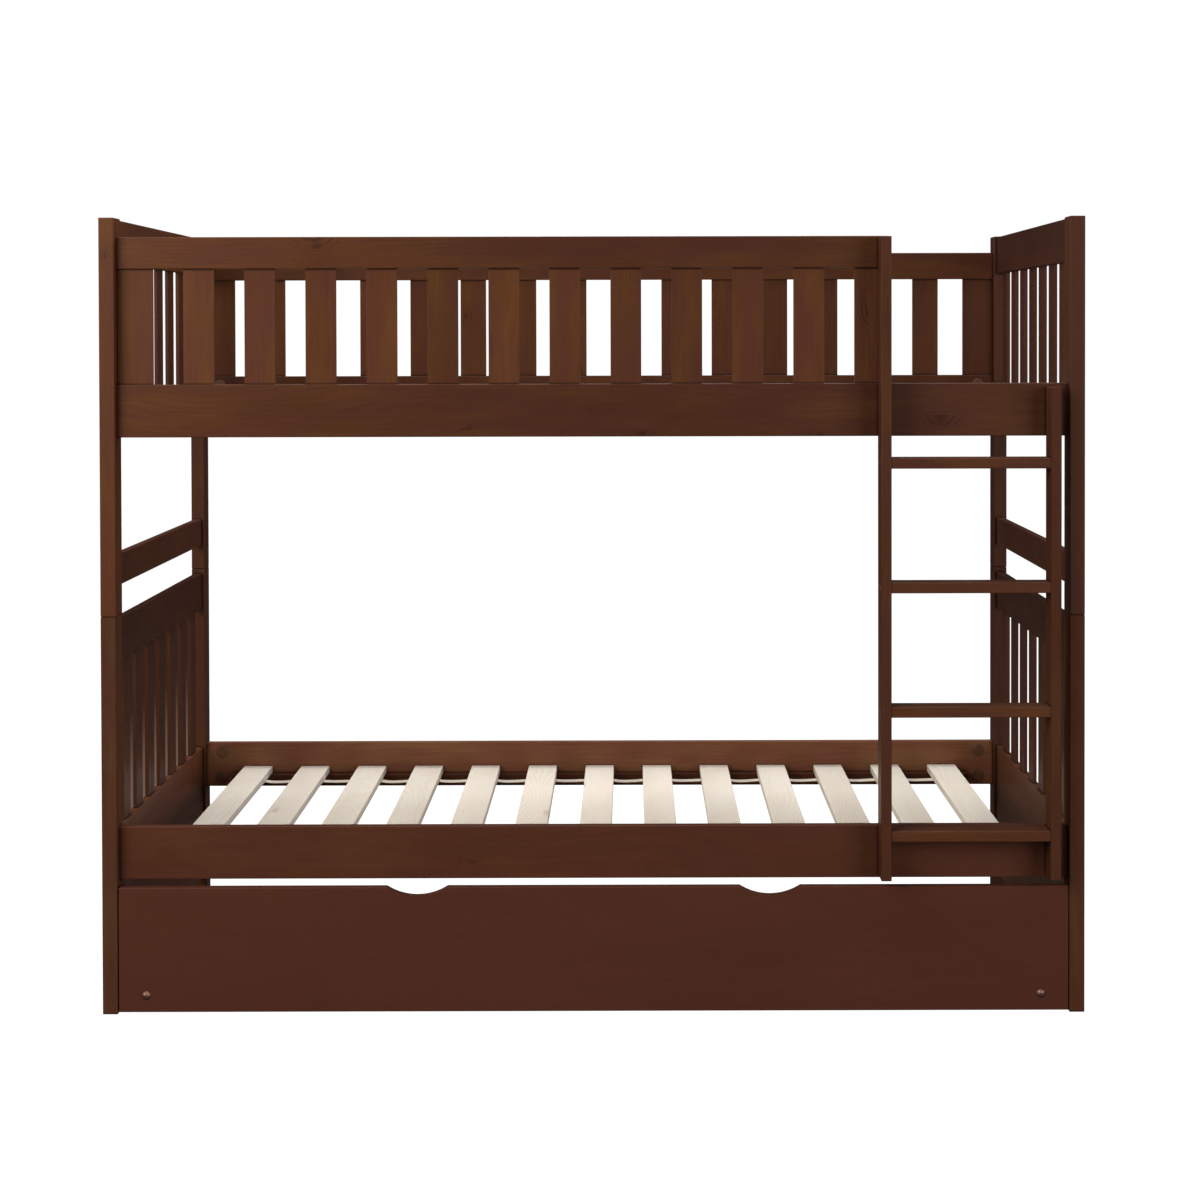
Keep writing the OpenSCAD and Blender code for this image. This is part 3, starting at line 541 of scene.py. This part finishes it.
# %% Small finishes
def cloudy_metal(name, dark, light, rough, scale):
    """A metal whose plating is slightly patchy; scale is the patches in each metre."""
    material, tree, shader = new_material(name)
    place = object_point(tree)
    patches = noise_at(tree, place, scale, detail=4.0)
    scratches = noise_at(tree, place, scale * 9.0)
    colour = mix_colour(tree, fade(tree, patches, 0.3, 0.7), dark, light)
    tree.links.new(colour, shader.inputs["Base Color"])
    dulled = math_of(tree, "MULTIPLY_ADD", scratches, 0.16, rough)
    tree.links.new(dulled, shader.inputs["Roughness"])
    set_all_over(shader, {"Metallic": 1.0})
    return material


def moulded(name, dark, light):
    """Moulded plastic with a fine spark-eroded skin."""
    material, tree, shader = new_material(name)
    place = object_point(tree)
    skin = noise_at(tree, place, 900.0)
    wear = noise_at(tree, place, 60.0, detail=3.0)
    colour = mix_colour(tree, fade(tree, wear, 0.35, 0.75), dark, light)
    tree.links.new(colour, shader.inputs["Base Color"])
    emboss(tree, shader, skin, 0.15, 0.0003)
    set_all_over(shader, {"Roughness": 0.48, "Specular IOR Level": 0.40})
    return material


zinc = cloudy_metal("zinc_plate", (0.50, 0.50, 0.49), (0.66, 0.66, 0.63), 0.26, 120.0)
bronze = cloudy_metal("antique_bronze", (0.19, 0.105, 0.082), (0.34, 0.205, 0.165), 0.46, 260.0)
nylon = moulded("wheel_nylon", (0.022, 0.022, 0.024), (0.045, 0.045, 0.047))
cap_brown = moulded("cap_plastic", (0.088, 0.037, 0.017), (0.130, 0.058, 0.027))
print("small finishes:", zinc.name, bronze.name, nylon.name, cap_brown.name)

# %% [markdown]
# ## Woven tape
#
# The tape that spaces the slats is a plain weave of cream yarn. Its yarns could be modelled, but
# there are thousands of them, and each is a millimetre wide. So the weave is a pattern. On cloth a
# pattern has to follow the strip, not the room, and it reads the strip's own UV map: u runs along
# the tape in metres and v across it.

# %% Tape finish
YARN_PITCH = 0.0013
YARN_SHADE = (0.50, 0.42, 0.34)
YARN_CREAM = (0.74, 0.66, 0.56)
HANDLING_STAIN = (0.52, 0.42, 0.33)


def woven_tape():
    """Cream webbing whose warp and weft follow the strip's UV map."""
    material, tree, shader = new_material("woven_tape")
    strip = add_node(tree, "ShaderNodeUVMap", uv_map="strip").outputs[0]
    parts = add_node(tree, "ShaderNodeSeparateXYZ", {0: strip})
    turns = 2 * math.pi / YARN_PITCH
    weft, warp = (
        math_of(tree, "SINE", math_of(tree, "MULTIPLY", parts.outputs[side], turns))
        for side in (0, 1)
    )
    weave = math_of(tree, "MULTIPLY_ADD", math_of(tree, "MULTIPLY", weft, warp), 0.5, 0.5)
    stain = fade(tree, noise_at(tree, strip, 14.0, detail=3.0), 0.45, 0.75, 0.0, 0.35)
    colour = mix_colour(tree, weave, YARN_SHADE, YARN_CREAM)
    colour = mix_colour(tree, stain, colour, HANDLING_STAIN)
    tree.links.new(colour, shader.inputs["Base Color"])
    emboss(tree, shader, weave, 0.5, 0.0004)
    set_all_over(shader, {"Roughness": 0.85, "Sheen Weight": 0.25})
    return material


tape_finish = woven_tape()
print("tape finish:", tape_finish.name)

# %% [markdown]
# ## Dressing the boards
#
# Each node of boards gets its own material, so that no two have the same figure and each can have
# its own tone. A tone is partly the stain, as a maker picks boards from a stack and no two take it
# alike, and partly painted light: boards that get more light are made lighter, shaded ones darker.
# The table says which way the grain runs and, for nodes that hold a row of boards, how many there
# are. Where the row starts and how far apart its boards are comes from the node's own box.

# %% Painting
EDGE_MARGIN = 0.001  # of a pitch, so that no board's edge lies on the border between two numbers


def board_row(node, axis, count):
    """(axis, first edge, pitch) of a row of equal boards that fills the node's box."""
    low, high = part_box(node)
    index = "XYZ".index(axis)
    pitch = (high[index] - low[index]) / count
    return axis, low[index] - pitch * EDGE_MARGIN, pitch


def paint(node, material):
    """Gives every material slot of a CAD node one material."""
    slots = nodes[node].material_slots
    for slot in slots:
        slot.material = material
    if not slots:
        nodes[node].data.materials.append(material)


print("nodes to paint:", len(nodes))

# %% Table of cherry boards
PICKETS_FRONT = 13
PICKETS_BACK = 16
END_SLATS = 7
DECK_SLATS = 13
RUNGS = 4

# name: grain axis, row of boards (axis, count) or None, tone, redness, strength of the figure.
# tone is partly the board's stain and partly painted light: boards that get more light are lighter
BOARDS = {
    "lower_post_front_left": ("Z", None, 1.02, -0.70, 0.8),
    "lower_post_front_right": ("Z", None, 1.14, -0.50, 0.7),
    "lower_post_back_left": ("Z", None, 0.86, 0.30, 0.8),
    "lower_post_back_right": ("Z", None, 0.78, 0.40, 0.8),
    "upper_post_front_left": ("Z", None, 0.94, 0.00, 1.0),
    "upper_post_front_right": ("Z", None, 0.88, 0.10, 0.8),
    "upper_post_back_left": ("Z", None, 0.86, 0.30, 0.8),
    "upper_post_back_right": ("Z", None, 0.78, 0.40, 0.8),
    "lower_end_top_left": ("Y", None, 0.68, 0.30, 0.8),
    "lower_end_top_right": ("Y", None, 0.51, 0.45, 0.8),
    "upper_end_top_left": ("Y", None, 1.23, 0.0, 0.8),
    "upper_end_top_right": ("Y", None, 0.59, 0.60, 0.8),
    "lower_end_board_left": ("Y", None, 1.33, 0.20, 0.7),
    "lower_end_board_right": ("Y", None, 1.16, -0.50, 0.7),
    "upper_end_rail_left": ("Y", None, 0.90, 0.30, 0.8),
    "upper_end_rail_right": ("Y", None, 0.75, 0.50, 0.8),
    "end_bar_left": ("Y", None, 0.95, 0.30, 0.8),
    "end_bar_right": ("Y", None, 0.95, 0.30, 0.8),
    "lower_end_slats_left": ("Z", ("Y", END_SLATS), 0.65, 0.35, 0.8),
    "lower_end_slats_right": ("Z", ("Y", END_SLATS), 0.71, 0.45, 0.8),
    "upper_end_slats_left": ("Z", ("Y", END_SLATS), 0.90, 0.30, 0.8),
    "upper_end_slats_right": ("Z", ("Y", END_SLATS), 0.78, 0.50, 0.8),
    "lower_rail_front": ("X", None, 1.09, 0.50, 0.7),
    # painted light: this inner face is made much lighter and greyer, for the light that the pale
    # slats throw on it
    "lower_rail_back": ("X", None, 1.98, -1.0, 1.0),
    "upper_rail_front": ("X", None, 0.87, 0.20, 1.0),
    "upper_rail_back": ("X", None, 1.00, 0.20, 1.0),
    "lower_cleats": ("X", None, 0.90, 0.30, 0.8),
    "upper_cleats": ("X", None, 0.90, 0.30, 0.8),
    "guard_board_front": ("X", None, 0.87, 0.15, 1.0),
    "guard_board_back": ("X", None, 0.99, 0.15, 1.0),
    "guard_pickets_front": ("Z", ("X", PICKETS_FRONT), 1.17, 0.00, 1.0),
    "guard_pickets_back": ("Z", ("X", PICKETS_BACK), 1.02, 0.10, 1.0),
    "ladder_upright_tall": ("Z", None, 0.90, 0.25, 0.9),
    "ladder_upright_short": ("Z", None, 0.95, -0.30, 0.9),
    "ladder_rungs": ("X", ("Z", RUNGS), 0.99, 0.10, 0.9),
    "trundle_front": ("X", None, 1.16, 0.80, 0.35),
    "trundle_back": ("X", None, 0.95, 0.40, 0.8),
    "trundle_end_left": ("Y", None, 0.95, 0.40, 0.8),
    "trundle_end_right": ("Y", None, 0.95, 0.40, 0.8),
}
print("cherry boards:", len(BOARDS))

# %% Cherry boards
SEED_STEP = 20.0  # more than the boards in any row, so that no two share a number

# name: the knot that shows, (x, z, size)
OWN_KNOT = {
    "guard_board_front": (-0.573, 1.600, 1.3),
    "guard_board_back": (-0.660, 1.574, 0.9),
    "guard_pickets_back": (-0.336, 1.462, 0.7),
    "upper_post_front_left": (-1.009, 1.579, 0.7),
}

# Boards whose inner sides would mirror the pale slats have no gloss, and a painted sheen of grey in
# their colour instead
GLOSS_OFF_BOARDS = ("lower_post_front_left", "lower_post_front_right", "ladder_upright_short")

# name: how much painted light makes the left end paler, as the key light falls stronger there
LEFT_LIGHT_BOARDS = {
    "guard_board_front": 0.55,
    "upper_rail_front": 0.40,
    "guard_pickets_front": 0.15,
    "guard_pickets_back": 0.50,
    "upper_post_front_left": 0.60,
}

for number, (name, (axis, row, *board)) in enumerate(BOARDS.items()):
    where = board_row(name, *row) if row else None
    knot, left_light = OWN_KNOT.get(name), LEFT_LIGHT_BOARDS.get(name, 0.0)
    seed = number * SEED_STEP
    paint(name, cherry("cherry_" + name, axis, where, seed, board, knot, name in GLOSS_OFF_BOARDS, left_light))
print("with their own knot:", ", ".join(OWN_KNOT))

# %% Bare boards
# All past the last cherry board
BARE_SEED = 900.0
CLEAT_SEED = 970.0
DOWEL_SEED = 980.0

for number, name in enumerate(("lower_slats", "upper_slats", "trundle_slats")):
    seed = BARE_SEED + number * SEED_STEP
    paint(name, bare("bare_" + name, "Y", board_row(name, "X", DECK_SLATS), seed))
paint("trundle_cleats", bare("bare_trundle_cleats", "X", None, CLEAT_SEED))
paint("guard_dowels", bare("bare_dowels", "X", None, DOWEL_SEED))
print("slats in each deck:", DECK_SLATS)

# %% Fasteners, wheels and caps
SMALL_PARTS = {
    zinc: (
        "rail_bolts",
        "rail_washers",
        "rail_nuts",
        "stacking_pins",
        "cleat_screws",
        "trundle_barrel_nuts",
        "trundle_axles",
    ),
    bronze: ("ladder_bolts", "rung_screws", "trundle_bolts"),
    nylon: ("wheel_front_left", "wheel_front_right", "wheel_back_left", "wheel_back_right"),
    cap_brown: ("pocket_caps",),
}
for material, names in SMALL_PARTS.items():
    for name in names:
        paint(name, material)
    print(material.name + ":", ", ".join(names))

# %% [markdown]
# ## The tapes under the slats
#
# Four webbing tapes are tacked to the undersides of the slats, to keep them evenly spaced. A tape
# lies flat under each slat and hangs a few millimetres slack between two slats, because it was not
# pulled tight. It could be draped by a cloth simulation, but a tape that is held so often can take
# only one shape, and a plain strip would look like a lath. So the tape starts as a long grid, each
# of its points in a gap is lowered, and a Solidify modifier gives the strip its thickness. One tape
# is modelled, and the other three are copies with their own meshes.

# %% Where the tapes run
TAPE_WIDTH = 0.030
TAPE_THICK = 0.0011
TAPE_CLEARANCE = 0.0001
SLAT_WIDTH = 0.071
STEPS_PER_PITCH = 12
SLACK = (0.0024, 0.0014, 0.0026, 0.0018, 0.0021, 0.0013)
SLACK_SKEW = 0.7  # below 1, the lowest point lies before the middle of the gap

tape_low, tape_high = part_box("slat_tapes")
tape_length = tape_high.x - tape_low.x
slats_low, slats_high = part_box("lower_slats")
slat_pitch = (slats_high.x - slats_low.x - SLAT_WIDTH) / (DECK_SLATS - 1)
print("tape length:", round(tape_length, 3), "slat pitch:", round(slat_pitch, 4))


def slack_at(x):
    """How far the tape hangs below the slats at a place along the bed."""
    along = x - slats_low.x
    number = math.floor(along / slat_pitch)
    into_gap = along - number * slat_pitch - SLAT_WIDTH
    part = into_gap / (slat_pitch - SLAT_WIDTH)
    if part <= 0 or part >= 1 or number < 0 or number > DECK_SLATS - 2:
        return 0.0
    return SLACK[number % len(SLACK)] * math.sin(math.pi * part**SLACK_SKEW)


# %% One tape
SMOOTH_ANGLE = math.radians(40)  # edges sharper than this stay crisp


def model_tape():
    """The lower front tape: a grid along X, lowered between the slats, then given its thickness."""
    bpy.ops.object.select_all(action="DESELECT")
    steps = round(tape_length / slat_pitch * STEPS_PER_PITCH)
    middle = Vector(((tape_low.x + tape_high.x) / 2, tape_low.y + TAPE_WIDTH / 2, 0))
    bpy.ops.mesh.primitive_grid_add(x_subdivisions=steps, y_subdivisions=2, size=1, location=middle)
    tape = bpy.context.object
    tape.name = "slat_tape_lower_front"
    tape.scale = (tape_length, TAPE_WIDTH, 1)
    bpy.ops.object.transform_apply(location=True, rotation=False, scale=True)
    mesh = tape.data
    under_slats = slats_low.z - TAPE_CLEARANCE
    for vertex in mesh.vertices:
        vertex.co.z = under_slats - slack_at(vertex.co.x)
    strip = mesh.uv_layers.new(name="strip")
    for loop in mesh.loops:
        place = mesh.vertices[loop.vertex_index].co
        strip.data[loop.index].uv = (place.x, place.y)
    row = sorted({round(v.co.x, 6): v.co.z for v in mesh.vertices}.items())
    length = sum(math.dist(a, b) for a, b in zip(row, row[1:]))
    thick = tape.modifiers.new("thickness", "SOLIDIFY")
    thick.thickness = TAPE_THICK
    thick.offset = -1.0
    bpy.ops.object.modifier_apply(modifier=thick.name)
    bpy.ops.object.shade_smooth_by_angle(angle=SMOOTH_ANGLE)
    mesh.materials.append(tape_finish)
    return tape, length


lower_front_tape, tape_cut = model_tape()
print("tape cut length:", round(tape_cut, 4), "polygons:", len(lower_front_tape.data.polygons))

# %% Four tapes
def copy_of(piece, name, shift):
    """A copy with its own mesh, moved in its mesh so that its object stays at the origin."""
    other = piece.copy()
    other.data = piece.data.copy()
    other.name = name
    other.data.transform(Matrix.Translation(shift))
    bpy.context.scene.collection.objects.link(other)
    return other


across = Vector((0, tape_high.y - tape_low.y - TAPE_WIDTH, 0))
up = Vector((0, 0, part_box("upper_slats")[0].z - slats_low.z))
tapes = {
    lower_front_tape: "lower_slats",
    copy_of(lower_front_tape, "slat_tape_lower_back", across): "lower_slats",
    copy_of(lower_front_tape, "slat_tape_upper_front", up): "upper_slats",
    copy_of(lower_front_tape, "slat_tape_upper_back", up + across): "upper_slats",
}
for tape, slats in tapes.items():
    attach(tape, "bed_frame")
    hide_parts("slat_tapes")
print("tapes:", [tape.name for tape in tapes])

# %% [markdown]
# ## The trundle's back board
#
# The two finger notches in the trundle's front are arcs, and the floor shows through them right
# down to the bottom. From the front the line over the bottom of a notch just grazes the top of the
# trundle's low back board. So the board is made here again, a little lower, from a box with the
# same outline and the same rounded edges.

# %% A lower back board
BACK_BOARD_DROP = 0.0065
BOARD_EDGE = 0.002

back_low, back_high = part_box("trundle_back")
back_size = back_high - back_low - Vector((0, 0, BACK_BOARD_DROP))
bpy.ops.object.select_all(action="DESELECT")
bpy.ops.mesh.primitive_cube_add(size=1, location=back_low + back_size / 2)
back_board = bpy.context.object
back_board.name = "trundle_back_board"
back_board.scale = back_size
bpy.ops.object.transform_apply(location=True, rotation=False, scale=True)
rounding = back_board.modifiers.new("rounded edges", "BEVEL")
rounding.width = BOARD_EDGE
rounding.segments = 3
bpy.ops.object.modifier_apply(modifier=rounding.name)
bpy.ops.object.shade_smooth_by_angle(angle=SMOOTH_ANGLE)
back_board.data.materials.append(nodes["trundle_back"].material_slots[0].material)
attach(back_board, "trundle")
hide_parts("trundle_back")
print("back board height:", round(back_size.z, 4))

# %% [markdown]
# ## Studio
#
# The room is a white sweep: the camera sees a bright floor that runs into a bright wall. If that
# brightness also lit the bed, the lacquer would mirror it from every side and the dark wood would
# turn grey. So the floor and the wall glow for the camera alone, and the wood mirrors a dim room.

# %% Floor and wall
FLOOR_SIZE = 60.0
# What the camera sees, and what bouncing light meets
FLOOR_GLOW = (1.02, 0.0)
FLOOR_GREY = (0.08, 0.04)
WALL_GLOW = (1.02, 0.012)


def seen_or_lit(tree, seen, lit):
    """One value where the camera looks, another where light bounces."""
    looking = add_node(tree, "ShaderNodeLightPath").outputs["Is Camera Ray"]
    return math_of(tree, "MULTIPLY_ADD", looking, seen - lit, lit)


def white_floor():
    """A pale floor with a glow that leaves only a faint shadow under the bed."""
    material, tree, shader = new_material("studio_white")
    tree.links.new(seen_or_lit(tree, *FLOOR_GREY), shader.inputs["Base Color"])
    tree.links.new(seen_or_lit(tree, *FLOOR_GLOW), shader.inputs["Emission Strength"])
    white = (1.0, 1.0, 1.0, 1.0)
    set_all_over(shader, {"Emission Color": white, "Roughness": 0.95, "Specular IOR Level": 0.0})
    return material


bpy.ops.object.select_all(action="DESELECT")
bpy.ops.mesh.primitive_plane_add(size=FLOOR_SIZE, location=(0, 0, 0))
floor = bpy.context.object
floor.name = "floor"
floor.data.materials.append(white_floor())

world = bpy.data.worlds.new("studio")
bpy.context.scene.world = world
world.use_nodes = True
wall = world.node_tree.nodes["Background"]
wall.inputs["Color"].default_value = (1.0, 1.0, 1.0, 1.0)
world.node_tree.links.new(seen_or_lit(world.node_tree, *WALL_GLOW), wall.inputs["Strength"])
print("white sweep:", floor.name)

# %% [markdown]
# ## A painted shade backdrop behind the lower left panel
#
# At the lower left end the slits between the slats read dark, not white, and a little lighter near
# the board. A dim brown wall behind would give that, but a whole wall would also darken the white
# room beside the bed. So a card painted with that shade stands in for it, in the recess of the end
# frame, just outside the slats. It belongs to the studio. It glows for the camera alone, is seen
# only from inside the bed and gives no light. It casts no shadow either, or the painted corner
# shade would count it as a corner and darken the slats beside it.

# %% Painted shade card
# painted shade: the card's glow high up and low down
CARD_DARK = (0.037, 0.0165, 0.0108)
CARD_PALE = (0.150, 0.092, 0.066)
CARD_PALING = (0.62, 0.40)  # metres above the floor, from where to where the card pales
CARD_GAP = 0.004


def painted_shade_glow():
    """Painted shade: a brown glow that pales downwards, for the camera alone and only from the
    card's front.
    """
    material, tree, shader = new_material("studio_painted_shade")
    tree.nodes.remove(shader)
    height = add_node(tree, "ShaderNodeSeparateXYZ", {0: object_point(tree)}).outputs[2]
    tone = mix_colour(tree, fade(tree, height, *CARD_PALING), CARD_DARK, CARD_PALE)
    glow = add_node(tree, "ShaderNodeEmission", {"Color": tone}).outputs[0]
    clear = add_node(tree, "ShaderNodeBsdfTransparent").outputs[0]
    looking = add_node(tree, "ShaderNodeLightPath").outputs["Is Camera Ray"]
    behind = add_node(tree, "ShaderNodeNewGeometry").outputs["Backfacing"]
    shown = math_of(tree, "SUBTRACT", looking, behind, clamp=True)
    mixed = add_node(tree, "ShaderNodeMixShader", {0: shown, 1: clear, 2: glow})
    tree.links.new(mixed.outputs[0], tree.nodes["Material Output"].inputs["Surface"])
    return material


panel_low, panel_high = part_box("lower_end_slats_left")
rail_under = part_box("lower_end_top_left")[0].z
board_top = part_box("lower_end_board_left")[1].z
card_middle = ((panel_low.y + panel_high.y) / 2, (rail_under + board_top) / 2)
bpy.ops.object.select_all(action="DESELECT")
bpy.ops.mesh.primitive_plane_add(size=1)
card = bpy.context.object
card.name = "painted_shade_card"
card.rotation_euler = (0, math.pi / 2, 0)
card.scale = (rail_under - board_top, panel_high.y - panel_low.y, 1)
card.location = (panel_low.x - CARD_GAP, *card_middle)
bpy.ops.object.transform_apply(location=True, rotation=True, scale=True)
card.data.materials.append(painted_shade_glow())
card.visible_shadow = False
print("card faces:", tuple(round(v) for v in card.data.polygons[0].normal))

# %% [markdown]
# ## Light
#
# A small lamp would give hard shadows and hot spots on the lacquer. Large soft panels don't. A warm
# one stands high at the front left and a weaker one at the front right. A faint one straight in
# front reaches into the gaps beside the ladder. One hangs overhead, for the slats. Three more are
# behind the bed, for its back, its ends and its upper edges.

# %% Light panels
PLAIN = (1.0, 1.0, 1.0)
WARM = (1.0, 0.95, 0.84)
ROSY = (1.0, 0.94, 0.95)

# name: place, the point that it faces, width and height, power in watts, tint
PANELS = {
    "key_panel": ((-3.2, -3.7, 2.8), (-0.5, 0, 1.0), (3.0, 3.4), 204.0, WARM),
    "fill_panel": ((3.9, -4.4, 1.6), (0.3, 0, 0.8), (3.0, 3.0), 143.0, ROSY),
    "front_panel": ((0.3, -5.6, 1.0), (0, 0, 0.8), (2.4, 2.0), 26.0, WARM),
    "top_panel": ((0.0, -0.4, 7.5), (0, 0, 0.5), (4.0, 3.0), 370.0, PLAIN),
    "back_panel": ((0.0, 3.6, 6.0), (0, 0, 0.9), (3.0, 2.0), 205.0, PLAIN),
    "left_back_panel": ((-4.4, 3.2, 2.0), (0, 0, 0.9), (2.4, 2.4), 80.0, PLAIN),
    "right_back_panel": ((4.4, 3.2, 2.0), (0, 0, 0.9), (2.4, 2.4), 80.0, PLAIN),
}


def panel_light(name, place, target, size, power, tint):
    """A large soft panel that faces a point."""
    data = bpy.data.lights.new(name, "AREA")
    data.shape = "RECTANGLE"
    data.size, data.size_y = size
    data.energy = power
    data.color = tint
    light = bpy.data.objects.new(name, data)
    bpy.context.scene.collection.objects.link(light)
    light.location = place
    light.rotation_euler = (Vector(target) - Vector(place)).to_track_quat("-Z", "Y").to_euler()
    return light


panels = {name: panel_light(name, *panel) for name, panel in PANELS.items()}
panels["front_panel"].visible_glossy = False  # the lacquer doesn't mirror it
bpy.context.scene.view_settings.view_transform = "Standard"
print("panels:", ", ".join(panels))
